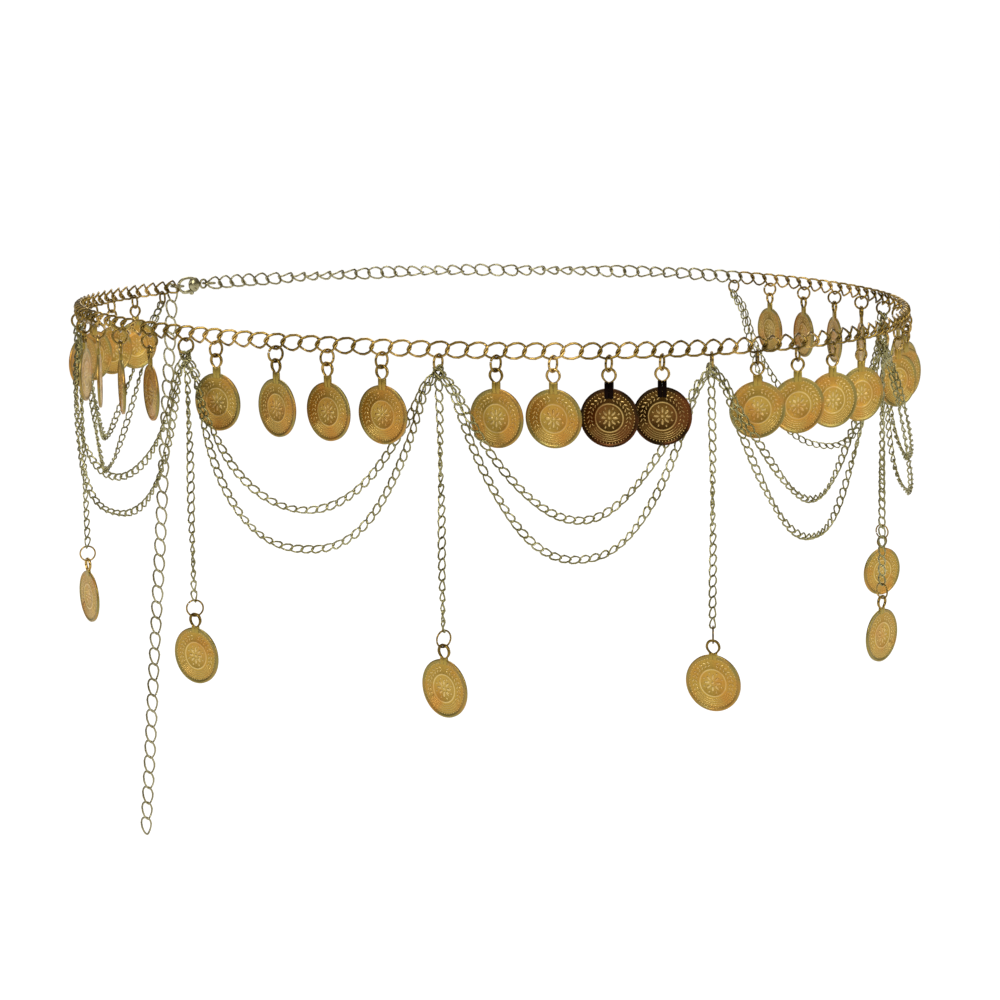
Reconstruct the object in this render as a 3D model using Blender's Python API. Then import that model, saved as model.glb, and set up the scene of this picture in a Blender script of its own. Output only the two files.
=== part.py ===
"""Coin waist chain: a belt of curb links with hanging coins, swags and tassels.

Sizes are metres, +Z is up and the wearer faces -Y. The origin is the middle of the
loop at the height of the belt. Along the belt a place is given by its arc length from
the first junction, at the back left, towards the front and round to the back right.
"""

from math import asin, atan2, cos, pi, radians, sin, tan

import bmesh
import bpy
import numpy as np
from mathutils import Matrix, Vector

for old in list(bpy.data.objects):
    bpy.data.objects.remove(old, do_unlink=True)

MM = 0.001

# The loop round the waist: an oval, a little lower at the wearer's left and more so in front.
LOOP_WIDTH = 278.5 * MM
LOOP_DEPTH = 239.3 * MM
LOOP_SQUARENESS = 1.94
LOOP_TILT = radians(1.36)
LOOP_TWIST = radians(0.69)
FIRST_JUNCTION_TO_FRONT = 275.2 * MM

# The belt's curb chain: pitch is hole to hole, height is across one link.
PITCH = 5.4 * MM
LINK_HEIGHT = 5.3 * MM
LINK_WIRE = 0.9 * MM
LINK_THICK = 1.0 * MM
HOLE_LENGTH = 2.8 * MM
NECK_HEIGHT = 1.8 * MM
SECTORS = 7
LINKS_IN_SECTOR = 15
COIN_LINKS = (3, 6, 9, 12)
BACK_LINKS = 41

# The extension chain that hangs free below the clasp.
TAIL_PITCH = 5.98 * MM
TAIL_LINKS = 35
TAIL_HEIGHT = 4.4 * MM
TAIL_LEAN = radians(4.7)

# Jump rings, of which every coin and every tassel hangs on one.
RING_RADIUS = 2.275 * MM
RING_WIRE = 0.75 * MM
RING_STEPS = 8
RING_DROP = 1.0 * MM

# The coins, with the bail that joins each to its ring.
COIN_RADIUS = 8.5 * MM
COIN_THICK = 0.8 * MM
COIN_DROP = 17.0 * MM
COIN_STEPS = 14

# How far each sector's coins are turned clockwise from facing straight out, in degrees.
# One coin hangs a link early, pushed to the end of that link, and faces nearly straight out.
COIN_TURNS = (23.0, 23.0, 23.0, 30.0, 23.0, 30.0, 23.0)
FACING_COIN = {"name": "coin_3_1", "turn": 2.0, "shift": -4.5 * MM}
JUNCTION_TURN = 26.0

BAIL_NECK = 2.7 * MM
BAIL_WIDTH = 4.4 * MM
BAIL_TOP = -3.15 * MM
BAIL_FOOT = -7.05 * MM
BAIL_CORNER = 0.95 * MM

# Swags of fine chain, two between neighbouring junctions.
SWAG_SEGMENTS = 18
SWAG_RADIUS = 1.0 * MM
SWAG_START = 2.5 * MM
SWAG_TOP = 6.4 * MM
SWAG_ROOT = (1.7 * MM, 4.2 * MM, 1.3 * MM)
INNER_SWAG = {"lowest": 48.6 * MM, "curve": 2.0}
OUTER_SWAG = {"lowest": 60.0 * MM, "curve": 2.4}
# How far each sector's swags swing out at the left and in at the right, in millimetres.
SWAG_SKEWS = (8.5, 8.5, 12.0, 8.5, 8.5, 8.5, 8.5)

# Tassels: a straight fine chain whose last link is an eye for the coin's ring.
STRAND_WIDTH = 2.0 * MM
STRAND_THICK = 1.0 * MM
STRAND_TOP = 5.2 * MM
EYE_WIRE = 0.45 * MM
EYE_HOLE = (1.1 * MM, 2.2 * MM)
TASSEL_RING_DROP = 1.2 * MM
TASSEL_COIN_DROP = 16.3 * MM

# Each tassel's coin: depth of its hinge below the belt, and the turns of ring and coin
# in degrees about the vertical, where 0 shows a coin flat to the front.
TASSELS = (
    {"hinge_depth": 79.5 * MM, "ring_turn": -86.0, "coin_turn": -66.0},
    {"hinge_depth": 81.0 * MM, "ring_turn": -89.0, "coin_turn": -41.0},
    {"hinge_depth": 81.7 * MM, "ring_turn": -60.0, "coin_turn": -48.0},
    {"hinge_depth": 83.2 * MM, "ring_turn": -14.0, "coin_turn": -34.0},
    {"hinge_depth": 83.1 * MM, "ring_turn": 25.0, "coin_turn": 38.0},
    {"hinge_depth": 82.2 * MM, "ring_turn": 40.0, "coin_turn": 25.0},
)

# The lobster clasp, hooked through the ring that carries the extension chain.
CLASP_HEIGHT = 6.4 * MM
CLASP_BODY = 11.6 * MM
CLASP_THICK = 1.6 * MM
CLASP_HOOK = 1.0 * MM
CLASP_HOLE = (4.8 * MM, 3.4 * MM)
CLASP_EYE = 2.0 * MM
CLASP_EYE_HOLE = 1.2 * MM
CLASP_EYE_THICK = 0.9 * MM
CLASP_CLEAR = 0.4 * MM
RING_CLEAR = 0.35 * MM

GAP = 0.3 * MM
WIRE_LEVEL = -(LINK_HEIGHT - LINK_WIRE) / 2

GOLD = {"colour": (0.62, 0.40, 0.11), "roughness": 0.28}
BRIGHT_GOLD = {"colour": (0.66, 0.44, 0.13), "roughness": 0.22}
DARK_BRONZE = {"colour": (0.045, 0.028, 0.012), "roughness": 0.3}
DARK_COINS = ("coin_4_3", "coin_4_4")


def loop_table():
    """The oval's points and their arc length, counter-clockwise from the front."""
    turn = np.linspace(-pi / 2, 1.5 * pi, 6001)
    power = 2 / LOOP_SQUARENESS
    x = LOOP_WIDTH / 2 * np.sign(np.cos(turn)) * np.abs(np.cos(turn)) ** power
    y = LOOP_DEPTH / 2 * np.sign(np.sin(turn)) * np.abs(np.sin(turn)) ** power
    z = x * (2 * y / LOOP_DEPTH * tan(LOOP_TWIST) - tan(LOOP_TILT))
    steps = np.sqrt(np.diff(x) ** 2 + np.diff(y) ** 2 + np.diff(z) ** 2)
    return x, y, z, np.concatenate([[0.0], np.cumsum(steps)])


LOOP_X, LOOP_Y, LOOP_Z, LOOP_ARC = loop_table()
PERIMETER = float(LOOP_ARC[-1])


def on_loop(arc):
    """The belt's centre line at an arc length from the first junction."""
    along = (arc - FIRST_JUNCTION_TO_FRONT) % PERIMETER
    return Vector([float(np.interp(along, LOOP_ARC, axis)) for axis in (LOOP_X, LOOP_Y, LOOP_Z)])


def frame_at(arc):
    """Place, direction along the belt and level outward direction at an arc length."""
    along = (on_loop(arc + MM) - on_loop(arc - MM)).normalized()
    outward = Vector((along.y, -along.x, 0.0)).normalized()
    return on_loop(arc), along, outward


def bend_to_loop(arc, up, out):
    place, _, outward = frame_at(arc)
    return place + outward * out + Vector((0.0, 0.0, up))


def principled(name, look):
    """A metal finish of its own for one object."""
    material = bpy.data.materials.new(name)
    material.use_nodes = True
    shader = material.node_tree.nodes["Principled BSDF"]
    shader.inputs["Base Color"].default_value = (*look["colour"], 1.0)
    shader.inputs["Metallic"].default_value = 1.0
    shader.inputs["Roughness"].default_value = look["roughness"]
    material.diffuse_color = (*look["colour"], 1.0)
    return material


def add_object(name, mesh, look=GOLD, matrix=None):
    """An object of its own material, placed by location and rotation."""
    item = bpy.data.objects.new(name, mesh)
    bpy.context.scene.collection.objects.link(item)
    item.matrix_world = matrix or Matrix.Identity(4)
    mesh.materials.clear()
    mesh.materials.append(principled(name, look))
    return item


def finish_mesh(name, shape):
    """A bmesh written to a mesh with its faces pointing out."""
    bmesh.ops.recalc_face_normals(shape, faces=shape.faces[:])
    if shape.calc_volume(signed=True) < 0:
        bmesh.ops.reverse_faces(shape, faces=shape.faces[:])
    mesh = bpy.data.meshes.new(name)
    shape.to_mesh(mesh)
    shape.free()
    return mesh


def combined(name, first, others, operation="UNION"):
    """One mesh out of several, joined or cut with Boolean modifiers."""
    base = bpy.data.objects.new(name, first)
    tools = [bpy.data.objects.new(f"{name}_tool", other) for other in others]
    for item in [base, *tools]:
        bpy.context.scene.collection.objects.link(item)
    for tool in tools:
        boolean = base.modifiers.new("boolean", "BOOLEAN")
        boolean.operation = operation
        boolean.object = tool
    view = bpy.context.evaluated_depsgraph_get()
    mesh = bpy.data.meshes.new_from_object(base.evaluated_get(view))
    mesh.name = name
    for item in [base, *tools]:
        bpy.data.objects.remove(item, do_unlink=True)
    return mesh


def moved(mesh, matrix):
    copy = mesh.copy()
    copy.transform(matrix)
    return copy


def box_mesh(sizes, matrix=None):
    shape = bmesh.new()
    bmesh.ops.create_cube(shape, size=1.0, matrix=Matrix.Diagonal((*sizes, 1.0)))
    mesh = finish_mesh("box", shape)
    mesh.transform(matrix or Matrix.Identity(4))
    return mesh


def outline_mesh(points, thick):
    """A flat outline in X and Z, given a thickness along Y about its middle."""
    shape = bmesh.new()
    face = shape.faces.new([shape.verts.new((x, -thick / 2, z)) for x, z in points])
    pulled = bmesh.ops.extrude_face_region(shape, geom=[face])
    new_points = [part for part in pulled["geom"] if isinstance(part, bmesh.types.BMVert)]
    bmesh.ops.translate(shape, verts=new_points, vec=(0.0, thick, 0.0))
    return finish_mesh("outline", shape)


def ring_mesh():
    """A jump ring about X, its flat side inward, with a corner at the top."""
    shape = bmesh.new()
    half = RING_WIRE / 2
    profile = [(-half, -half), (half, -half), (0.0, half)]
    points = [shape.verts.new((x, 0.0, RING_RADIUS + z)) for x, z in profile]
    edges = [shape.edges.new((points[i], points[(i + 1) % 3])) for i in range(3)]
    bmesh.ops.spin(shape, geom=points + edges, cent=(0, 0, 0), axis=(1, 0, 0),
                   angle=2 * pi, steps=RING_STEPS, use_merge=True)
    bmesh.ops.remove_doubles(shape, verts=shape.verts[:], dist=0.01 * MM)
    return finish_mesh("ring", shape)


def link_faces(shape, corner, middle, pitch, height):
    """The face of one link about its hole, in arc length and height."""
    half, hole = height / 2, HOLE_LENGTH / 2
    inner, neck, end = half - LINK_WIRE, NECK_HEIGHT / 2, pitch / 2
    for side in (-1, 1):
        top, bottom = corner(middle + side * hole, half), corner(middle + side * hole, -half)
        upper, lower = corner(middle + side * hole, inner), corner(middle + side * hole, -inner)
        high, low = corner(middle + side * end, neck), corner(middle + side * end, -neck)
        shape.faces.new((upper, high, low, lower))
        shape.faces.new((top, high, upper))
        shape.faces.new((bottom, lower, low))
    left, right = middle - hole, middle + hole
    for level in (-1, 1):
        shape.faces.new((corner(left, level * half), corner(right, level * half),
                         corner(right, level * inner), corner(left, level * inner)))


def chain_mesh(name, start, links, pitch, height, bend):
    """A run of links as one band with a hole in each, bent to its place."""
    shape = bmesh.new()
    found = {}
    first, last = start - pitch / 2, start + (links - 0.5) * pitch

    def corner(arc, up):
        key = (round(arc / MM, 3), round(up / MM, 3))
        if key not in found:
            found[key] = shape.verts.new((min(max(arc, first + GAP / 2), last - GAP / 2), 0.0, up))
        return found[key]

    for number in range(links):
        link_faces(shape, corner, start + number * pitch, pitch, height)
    pulled = bmesh.ops.extrude_face_region(shape, geom=shape.faces[:])
    new_points = [part for part in pulled["geom"] if isinstance(part, bmesh.types.BMVert)]
    bmesh.ops.translate(shape, verts=new_points, vec=(0.0, LINK_THICK, 0.0))
    for point in shape.verts:
        point.co = bend(point.co.x, point.co.z, point.co.y - LINK_THICK / 2)
    return finish_mesh(name, shape)


def coin_outline():
    """The coin's rim with the bail above it, about the hinge, in X and Z."""
    opening = np.arcsin(BAIL_NECK / 2 / COIN_RADIUS)
    turns = np.linspace(opening, 2 * pi - opening, COIN_STEPS + 1)
    rim = [(COIN_RADIUS * sin(turn), COIN_RADIUS * cos(turn) - COIN_DROP) for turn in turns]
    half, neck = BAIL_WIDTH / 2, BAIL_NECK / 2
    left = [(-neck, BAIL_FOOT), (-half, BAIL_FOOT + BAIL_CORNER), (-half, BAIL_TOP - BAIL_CORNER),
            (-half + BAIL_CORNER, BAIL_TOP)]
    return rim + left + [(-x, z) for x, z in reversed(left)]


def coin_mesh(name, ring_drop, coin_drop, ring_turn):
    """Coin, bail and jump ring as one closed body, hung from its hinge at the origin."""
    lift = COIN_DROP - coin_drop
    plate = moved(outline_mesh(coin_outline(), COIN_THICK), Matrix.Translation((0, 0, lift)))
    ring = moved(ring_mesh(), Matrix.Translation((0, 0, -ring_drop)) @ Matrix.Rotation(ring_turn, 4, "Z"))
    return combined(name, plate, [ring])


def hang(place, turn):
    return Matrix.Translation(place) @ Matrix.Rotation(turn, 4, "Z")


def hung_at(arc, turn):
    """Hinge of what hangs from a link's lower wire, turned clockwise by degrees."""
    place, along, _ = frame_at(arc)
    return hang(place + Vector((0, 0, WIRE_LEVEL)), atan2(along.y, along.x) - radians(turn))


def make_belt():
    for sector in range(SECTORS):
        first = sector * LINKS_IN_SECTOR
        links = LINKS_IN_SECTOR
        if sector == 0:
            first, links = first - 1, links + 1
        name = f"belt_{sector + 1}"
        mesh = chain_mesh(name, first * PITCH, links, PITCH, LINK_HEIGHT, bend_to_loop)
        add_object(name, mesh)
    start = SECTORS * LINKS_IN_SECTOR * PITCH
    add_object("back_chain", chain_mesh("back_chain", start, BACK_LINKS, PITCH, LINK_HEIGHT, bend_to_loop))


def make_belt_coins():
    for sector in range(SECTORS):
        for number, link in enumerate(COIN_LINKS):
            name = f"coin_{sector + 1}_{number + 1}"
            mesh = coin_mesh(name, RING_DROP, COIN_DROP, 0.0)
            look = DARK_BRONZE if name in DARK_COINS else BRIGHT_GOLD
            arc, turn = (sector * LINKS_IN_SECTOR + link) * PITCH, COIN_TURNS[sector]
            if name == FACING_COIN["name"]:
                arc, turn = arc + FACING_COIN["shift"], FACING_COIN["turn"]
            add_object(name, mesh, look, hung_at(arc, turn))


def strand_mesh(length):
    """A straight strand hanging from the origin, with the eye of its last link below."""
    shape = bmesh.new()
    half, hole_half = STRAND_WIDTH / 2, EYE_HOLE[0] / 2
    low, high = -length + EYE_WIRE, -length + EYE_WIRE + EYE_HOLE[1]
    levels = (0.0, high, low, -length)
    grid = [[shape.verts.new((x, -STRAND_THICK / 2, z)) for x in (-half, -hole_half, hole_half, half)]
            for z in levels]
    for row in range(3):
        for column in range(3):
            if (row, column) != (1, 1):
                shape.faces.new((grid[row][column], grid[row][column + 1],
                                 grid[row + 1][column + 1], grid[row + 1][column]))
    pulled = bmesh.ops.extrude_face_region(shape, geom=shape.faces[:])
    new_points = [part for part in pulled["geom"] if isinstance(part, bmesh.types.BMVert)]
    bmesh.ops.translate(shape, verts=new_points, vec=(0.0, STRAND_THICK, 0.0))
    return finish_mesh("strand", shape)


def junction_ring(number):
    """The ring at a junction, in the belt's own frame."""
    place = hung_at(number * LINKS_IN_SECTOR * PITCH, JUNCTION_TURN)
    return moved(ring_mesh(), place @ Matrix.Translation((0, 0, -RING_DROP)))


def make_tassels():
    for number, tassel in enumerate(TASSELS):
        place = frame_at((number + 1) * LINKS_IN_SECTOR * PITCH)[0]
        eye = place - Vector((0, 0, tassel["hinge_depth"]))
        top = place - Vector((0, 0, STRAND_TOP))
        length = tassel["hinge_depth"] + EYE_WIRE / 2 - STRAND_TOP
        ring_turn, coin_turn = radians(tassel["ring_turn"]), radians(tassel["coin_turn"])
        strand = moved(strand_mesh(length), hang(top, ring_turn))
        name = f"tassel_{number + 1}"
        add_object(name, combined(name, junction_ring(number + 1), [strand]))
        name = f"tassel_coin_{number + 1}"
        mesh = coin_mesh(name, TASSEL_RING_DROP, TASSEL_COIN_DROP, ring_turn - coin_turn)
        add_object(name, mesh, BRIGHT_GOLD, hang(eye, coin_turn))


def swag_points(sector, swag):
    """A hanging curve between junctions, in front of the first coin and behind the last."""
    first = sector * LINKS_IN_SECTOR * PITCH
    half = LINKS_IN_SECTOR * PITCH / 2
    points = []
    for step in range(SWAG_SEGMENTS + 1):
        share = -cos(pi * step / SWAG_SEGMENTS)
        share = 0.5 * (share + 2 * step / SWAG_SEGMENTS - 1)
        depth = SWAG_TOP + (swag["lowest"] - SWAG_TOP) * (1 - abs(share) ** swag["curve"])
        along = first + half + share * (half - SWAG_START)
        out = -SWAG_SKEWS[sector] * MM * share * (1 - share ** 2)
        points.append(bend_to_loop(along, -depth, out))
    return points


def tube_mesh(points, outward_at):
    """A three-sided strand along points, flat towards the body."""
    shape = bmesh.new()
    rings = []
    for number, point in enumerate(points):
        before, after = points[max(number - 1, 0)], points[min(number + 1, len(points) - 1)]
        along = (after - before).normalized()
        outward = outward_at(point)
        outward = (outward - along * outward.dot(along)).normalized()
        side = along.cross(outward)
        turns = [2 * pi * corner / 3 for corner in range(3)]
        rings.append([shape.verts.new(point + SWAG_RADIUS * (cos(t) * outward + sin(t) * side))
                      for t in turns])
    for one, two in zip(rings, rings[1:]):
        for corner in range(3):
            after = (corner + 1) % 3
            shape.faces.new((one[corner], one[after], two[after], two[corner]))
    shape.faces.new(rings[0])
    shape.faces.new(rings[-1])
    return finish_mesh("tube", shape)


def away_from_middle(point):
    return Vector((point.x / LOOP_WIDTH ** 2, point.y / LOOP_DEPTH ** 2, 0.0)).normalized()


def swag_root(arc):
    place, along, _ = frame_at(arc)
    return hang(place - Vector((0, 0, SWAG_TOP)), atan2(along.y, along.x))


def make_swags():
    for sector in range(SECTORS):
        name = f"swag_{sector + 1}"
        first = sector * LINKS_IN_SECTOR * PITCH
        last = first + LINKS_IN_SECTOR * PITCH
        inner = tube_mesh(swag_points(sector, INNER_SWAG), away_from_middle)
        outer = tube_mesh(swag_points(sector, OUTER_SWAG), away_from_middle)
        roots = [box_mesh(SWAG_ROOT, swag_root(arc)) for arc in (first + SWAG_START, last - SWAG_START)]
        add_object(name, combined(name, roots[0], [inner, outer, roots[1]]))


def on_chord(first, last):
    """A frame midway between two places on the belt, with X from one to the other."""
    one, two = on_loop(first), on_loop(last)
    ahead = (two - one).normalized()
    rise = Matrix.Rotation(-asin(ahead.z), 4, "Y")
    return hang((one + two) / 2, atan2(ahead.y, ahead.x)) @ rise


def flat_ring(arc):
    """A ring lying level about a place on the belt."""
    level = on_chord(arc - RING_RADIUS, arc + RING_RADIUS)
    return moved(ring_mesh(), level @ Matrix.Rotation(pi / 2, 4, "Y"))


BELT_START = -1.5 * PITCH + GAP / 2
HOOK_RING_AT = -PITCH - HOLE_LENGTH / 2 + LINK_WIRE - RING_RADIUS
CLASP_START = BELT_START - CLASP_CLEAR
RING_HOLE = RING_RADIUS - RING_WIRE / 2
BACK_HOLE = (SECTORS * LINKS_IN_SECTOR + BACK_LINKS - 1) * PITCH + HOLE_LENGTH / 2 - PERIMETER
CLASP_RING_AT = BACK_HOLE - RING_CLEAR + RING_HOLE
CLASP_EYE_AT = CLASP_RING_AT + RING_HOLE - RING_CLEAR + CLASP_EYE_HOLE
CLASP_LENGTH = CLASP_START - CLASP_EYE_AT + CLASP_EYE


def make_tail():
    """The extension chain, hung from the ring that the clasp hooks into."""
    place, along, outward = frame_at(HOOK_RING_AT)
    top = place + outward * RING_RADIUS
    down = Vector((-sin(TAIL_LEAN), 0.0, -cos(TAIL_LEAN)))

    def hanging(length, up, out):
        return top + down * length + along * up + outward * out

    start = TAIL_PITCH / 2 - RING_WIRE / 2
    chain = chain_mesh("tail", start, TAIL_LINKS, TAIL_PITCH, TAIL_HEIGHT, hanging)
    add_object("tail_chain", combined("tail_chain", chain, [flat_ring(HOOK_RING_AT)]))


def oval(centre, length, height, steps):
    return [(centre + length / 2 * cos(2 * pi * step / steps), height / 2 * sin(2 * pi * step / steps))
            for step in range(steps)]


def make_clasp():
    """A lobster clasp, plain: a rounded body with a hook's opening, and an eye behind."""
    level = on_chord(CLASP_START - CLASP_LENGTH, CLASP_START)
    end = CLASP_LENGTH / 2
    body = outline_mesh(oval(end - CLASP_BODY / 2, CLASP_BODY, CLASP_HEIGHT, 14), CLASP_THICK)
    eye_at = -end + CLASP_EYE
    eye = outline_mesh(oval(eye_at, 2 * CLASP_EYE, 2 * CLASP_EYE, 10), CLASP_EYE_THICK)
    hole_at = end - CLASP_HOOK - CLASP_HOLE[0] / 2
    cuts = [outline_mesh(oval(hole_at, *CLASP_HOLE, 10), 2 * CLASP_THICK),
            outline_mesh(oval(eye_at, 2 * CLASP_EYE_HOLE, 2 * CLASP_EYE_HOLE, 10), 2 * CLASP_THICK)]
    whole = combined("clasp", body, [eye])
    add_object("clasp", combined("clasp", whole, cuts, "DIFFERENCE"), BRIGHT_GOLD, level)
    add_object("clasp_ring", flat_ring(CLASP_RING_AT))


make_belt()
make_belt_coins()
make_tassels()
make_swags()
make_tail()
make_clasp()
add_object("junction_ring_1", junction_ring(0))
add_object("junction_ring_8", junction_ring(SECTORS))
print("perimeter mm", round(PERIMETER / MM, 2), "clasp length mm", round(CLASP_LENGTH / MM, 2))
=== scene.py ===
# %% [markdown]
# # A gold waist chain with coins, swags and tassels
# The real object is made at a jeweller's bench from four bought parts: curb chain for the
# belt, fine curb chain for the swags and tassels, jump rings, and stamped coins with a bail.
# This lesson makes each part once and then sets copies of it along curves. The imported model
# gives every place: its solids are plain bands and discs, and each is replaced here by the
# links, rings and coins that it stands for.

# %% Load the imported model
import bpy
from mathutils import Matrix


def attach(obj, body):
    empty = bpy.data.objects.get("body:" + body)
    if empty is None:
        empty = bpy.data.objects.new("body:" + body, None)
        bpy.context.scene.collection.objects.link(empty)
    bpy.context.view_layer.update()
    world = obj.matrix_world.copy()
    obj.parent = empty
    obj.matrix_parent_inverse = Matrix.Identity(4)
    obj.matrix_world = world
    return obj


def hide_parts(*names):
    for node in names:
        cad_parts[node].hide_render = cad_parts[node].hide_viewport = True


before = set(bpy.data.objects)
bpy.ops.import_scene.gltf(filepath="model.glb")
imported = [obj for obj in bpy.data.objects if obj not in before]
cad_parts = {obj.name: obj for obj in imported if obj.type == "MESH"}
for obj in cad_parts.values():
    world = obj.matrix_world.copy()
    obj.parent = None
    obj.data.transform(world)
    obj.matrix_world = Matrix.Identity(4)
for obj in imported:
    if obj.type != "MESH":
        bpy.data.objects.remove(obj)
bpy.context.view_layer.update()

# %% What the script uses
from math import asin, atan2, copysign, cos, pi, radians, sin, tan

import bmesh
import bpy
import numpy as np
from mathutils import Matrix, Vector

MM = 0.001
WELD = 0.002 * MM

# %% [markdown]
# ## The line of the belt
# A worn chain follows the waist, which is close to an oval. Every place on it is given by its
# arc length from the first tassel point at the back left, towards the front and round to the
# back right. A table of the oval's points is read by arc length, because chain links are
# spaced evenly along the line and not evenly in angle.

# %% The oval of the belt
LOOP_WIDTH = 278.5 * MM
LOOP_DEPTH = 239.3 * MM
LOOP_SQUARENESS = 1.94
LOOP_TILT = radians(1.36)
LOOP_TWIST = radians(0.69)
FIRST_JUNCTION_TO_FRONT = 275.2 * MM


def loop_table():
    """The oval's points and their arc length, counter-clockwise from the front."""
    turn = np.linspace(-pi / 2, 1.5 * pi, 6001)
    power = 2 / LOOP_SQUARENESS
    x = LOOP_WIDTH / 2 * np.sign(np.cos(turn)) * np.abs(np.cos(turn)) ** power
    y = LOOP_DEPTH / 2 * np.sign(np.sin(turn)) * np.abs(np.sin(turn)) ** power
    z = x * (2 * y / LOOP_DEPTH * tan(LOOP_TWIST) - tan(LOOP_TILT))
    steps = np.sqrt(np.diff(x) ** 2 + np.diff(y) ** 2 + np.diff(z) ** 2)
    return x, y, z, np.concatenate([[0.0], np.cumsum(steps)])


LOOP_X, LOOP_Y, LOOP_Z, LOOP_ARC = loop_table()
PERIMETER = float(LOOP_ARC[-1])


def on_loop(arc):
    """The belt's centre line at an arc length from the first junction."""
    along = (arc - FIRST_JUNCTION_TO_FRONT) % PERIMETER
    return Vector([float(np.interp(along, LOOP_ARC, axis)) for axis in (LOOP_X, LOOP_Y, LOOP_Z)])


def frame_at(arc):
    """Place, direction along the belt and level outward direction at an arc length."""
    along = (on_loop(arc + MM) - on_loop(arc - MM)).normalized()
    outward = Vector((along.y, -along.x, 0.0)).normalized()
    return on_loop(arc), along, outward


print("belt line", round(PERIMETER / MM, 1), "mm round")

# %% [markdown]
# ## One chain link
# A curb link is a closed oval of wire whose two ends are turned against each other, so that
# the chain lies flat. The wire's section is a small circle that is spun once round the middle
# of the link. The ring of wire is then stretched to its oval by moving each section with its
# own centre, which keeps the wire's thickness, and the ends are turned about the length. A
# drawn link is fuller than an ellipse, so the oval is a superellipse. In a pulled chain the
# twist also tips every link a little in its own plane, which gives the slanting crossings.

# %% A ring of wire, and a link made from it


def wire_ring(radius, wire, steps, sides, slit=0.0):
    """A ring of round wire in the XY plane. With a slit it is cut open at the top, at +Y."""
    shape = bmesh.new()
    start = pi / 2 + slit / 2
    section = Matrix.Rotation(start, 4, "Z") @ Matrix.Translation((radius, 0, 0))
    section = section @ Matrix.Rotation(pi / 2, 4, "X")
    bmesh.ops.create_circle(shape, cap_ends=slit > 0, segments=sides, radius=wire / 2, matrix=section)
    swept = shape.verts[:] + shape.edges[:] + shape.faces[:]
    bmesh.ops.spin(shape, geom=swept, cent=(0, 0, 0), axis=(0, 0, 1), angle=2 * pi - slit,
                   steps=steps, use_merge=slit == 0, use_duplicate=False)
    if slit == 0:
        bmesh.ops.remove_doubles(shape, verts=shape.verts[:], dist=WELD)
    bmesh.ops.recalc_face_normals(shape, faces=shape.faces[:])
    return shape


def oval_link(name, length, height, wire, steps, sides, turned=0.0, tipped=0.0, fullness=2.5):
    """A link about the origin: length along X between wire centres, hole open to Z."""
    radius = height / 2
    shape = wire_ring(radius, wire, steps, sides)
    for vert in shape.verts:
        middle = Vector((vert.co.x, vert.co.y, 0.0)).normalized()
        full_x, full_y = [copysign(abs(part) ** (2 / fullness), part) for part in middle.xy]
        vert.co += Vector((full_x * length / 2, full_y * radius, 0.0)) - middle * radius
        vert.co.rotate(Matrix.Rotation(turned * 2 * vert.co.x / length, 3, "X"))
        vert.co.rotate(Matrix.Rotation(tipped, 3, "Z"))
    mesh = bpy.data.meshes.new(name)
    shape.to_mesh(mesh)
    shape.free()
    return mesh


# %% The three links: belt, fine and extension chain
BELT_PITCH, BELT_HEIGHT, BELT_WIRE = 5.4 * MM, 4.35 * MM, 0.82 * MM
FINE_PITCH, FINE_HEIGHT, FINE_WIRE = 3.04 * MM, 2.0 * MM, 0.6 * MM
TAIL_PITCH, TAIL_HEIGHT, TAIL_WIRE = 5.98 * MM, 3.65 * MM, 0.8 * MM
CURB_TURN = radians(-45)
CURB_TIP = radians(13)

BELT_LINK = oval_link("belt_link", BELT_PITCH + 1.15 * BELT_WIRE, BELT_HEIGHT, BELT_WIRE,
                      16, 5, CURB_TURN, CURB_TIP)
FINE_LINK = oval_link("fine_link", FINE_PITCH + 1.05 * FINE_WIRE, FINE_HEIGHT, FINE_WIRE,
                      12, 4, CURB_TURN, CURB_TIP)
TAIL_LINK = oval_link("tail_link", TAIL_PITCH + 1.1 * TAIL_WIRE, TAIL_HEIGHT, TAIL_WIRE,
                      16, 5, CURB_TURN, CURB_TIP)
print("faces in a belt link", len(BELT_LINK.polygons), "in a fine link", len(FINE_LINK.polygons))

# %% [markdown]
# ## Pieces and chains
# Each piece is one mesh whose place is in its points. A chain is made by adding the link's
# mesh to the piece again and again, each time moved to its own place: X along the chain, Z
# out of the flat side. A chain of rigid links has to share its bends out, so the links are
# spaced evenly by arc length and the pitch is trimmed a little to end on a whole link.

# %% Piece and chain helpers


def add_copy(shape, mesh, matrix):
    """Adds a moved copy of a mesh to a bmesh."""
    before = len(shape.verts)
    shape.from_mesh(mesh)
    shape.verts.ensure_lookup_table()
    bmesh.ops.transform(shape, matrix=matrix, verts=shape.verts[before:])


def finish_piece(name, shape, materials, body, node=None):
    """Writes a bmesh to an object that rides on a body and may stand for a node."""
    mesh = bpy.data.meshes.new(name)
    shape.to_mesh(mesh)
    shape.free()
    mesh.shade_smooth()
    for material in materials:
        mesh.materials.append(material)
    piece = bpy.data.objects.new(name, mesh)
    bpy.context.scene.collection.objects.link(piece)
    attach(piece, body)
    if node:
        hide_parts(node)
    return piece


def link_place(middle, along, flat, roll=0.0):
    """A frame with X along the chain and Z out of the link's flat side."""
    flat = (flat - along * flat.dot(along)).normalized()
    frame_matrix = Matrix((along, flat.cross(along), flat)).transposed().to_4x4()
    return Matrix.Translation(middle) @ frame_matrix @ Matrix.Rotation(roll, 4, "X")


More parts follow.
